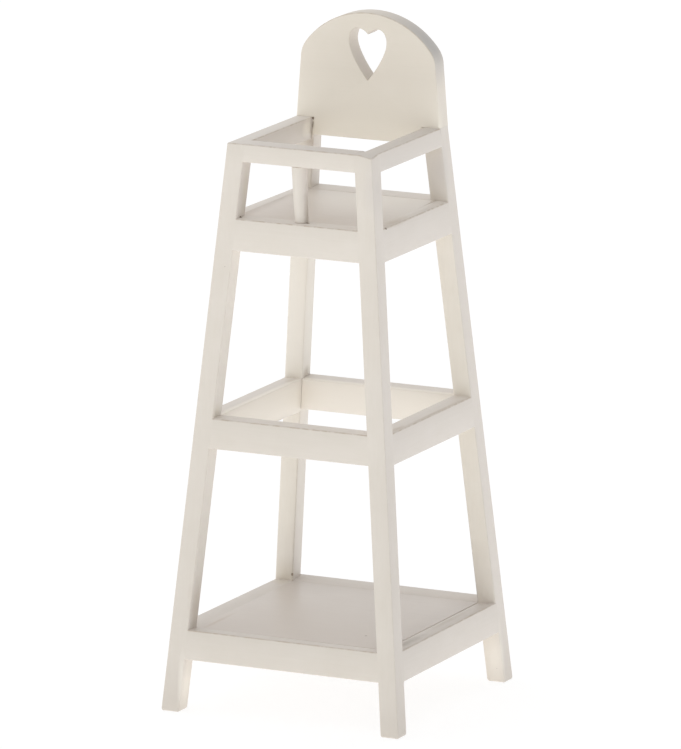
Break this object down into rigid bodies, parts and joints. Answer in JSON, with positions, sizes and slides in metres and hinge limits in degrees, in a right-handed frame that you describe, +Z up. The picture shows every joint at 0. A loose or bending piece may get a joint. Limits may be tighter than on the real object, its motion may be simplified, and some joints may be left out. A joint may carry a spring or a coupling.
{
  "type": "doll high chair",
  "caption": "Tall painted wooden doll high chair: splayed legs tied by rails, a railed seat with a front post, an arched back with a heart cut-out, and a low shelf.",
  "frame": {"origin": "centre of the four feet's footprint, on the floor", "axes": "+Z up along the height, -Y towards the front where the post is, -X the chair's left in a front view, all at rest on a level floor"},
  "size_m": [0.0878, 0.0898, 0.2294],
  "materials": {
    "frame_paint": "off-white satin paint on wood",
    "board_paint": "off-white satin paint on wood, a little greyer",
    "bare_wood": "bare wood inside the joints"
  },
  "bodies": {
    "root": {"arm_rail_front": "frame_paint", "armrest_left": "frame_paint", "armrest_right": "frame_paint", "back_panel": "frame_paint", "crotch_post": "frame_paint", "leg_front_left": "frame_paint", "leg_front_right": "frame_paint", "leg_rear_left": "frame_paint", "leg_rear_right": "frame_paint", "middle_rail_front": "frame_paint", "middle_rail_left": "frame_paint", "middle_rail_rear": "frame_paint", "middle_rail_right": "frame_paint", "seat_apron_front": "frame_paint", "seat_apron_left": "frame_paint", "seat_apron_rear": "frame_paint", "seat_apron_right": "frame_paint", "shelf_rail_front": "frame_paint", "shelf_rail_left": "frame_paint", "shelf_rail_rear": "frame_paint", "shelf_rail_right": "frame_paint", "seat_board": "board_paint", "shelf_board": "board_paint", "pin_arm_rail_front_left": "bare_wood", "pin_arm_rail_front_right": "bare_wood", "pin_armrest_left_front": "bare_wood", "pin_armrest_left_rear": "bare_wood", "pin_armrest_right_front": "bare_wood", "pin_armrest_right_rear": "bare_wood", "pin_back_panel_left": "bare_wood", "pin_back_panel_right": "bare_wood", "pin_middle_rail_front_left": "bare_wood", "pin_middle_rail_front_right": "bare_wood", "pin_middle_rail_left_front": "bare_wood", "pin_middle_rail_left_rear": "bare_wood", "pin_middle_rail_rear_left": "bare_wood", "pin_middle_rail_rear_right": "bare_wood", "pin_middle_rail_right_front": "bare_wood", "pin_middle_rail_right_rear": "bare_wood", "pin_seat_apron_front_left": "bare_wood", "pin_seat_apron_front_right": "bare_wood", "pin_seat_apron_left_front": "bare_wood", "pin_seat_apron_left_rear": "bare_wood", "pin_seat_apron_rear_left": "bare_wood", "pin_seat_apron_rear_right": "bare_wood", "pin_seat_apron_right_front": "bare_wood", "pin_seat_apron_right_rear": "bare_wood", "pin_shelf_board_left_front": "bare_wood", "pin_shelf_board_left_rear": "bare_wood", "pin_shelf_board_right_front": "bare_wood", "pin_shelf_board_right_rear": "bare_wood", "pin_shelf_rail_front_left": "bare_wood", "pin_shelf_rail_front_right": "bare_wood", "pin_shelf_rail_left_front": "bare_wood", "pin_shelf_rail_left_rear": "bare_wood", "pin_shelf_rail_rear_left": "bare_wood", "pin_shelf_rail_rear_right": "bare_wood", "pin_shelf_rail_right_front": "bare_wood", "pin_shelf_rail_right_rear": "bare_wood"}
  },
  "joints": []
}
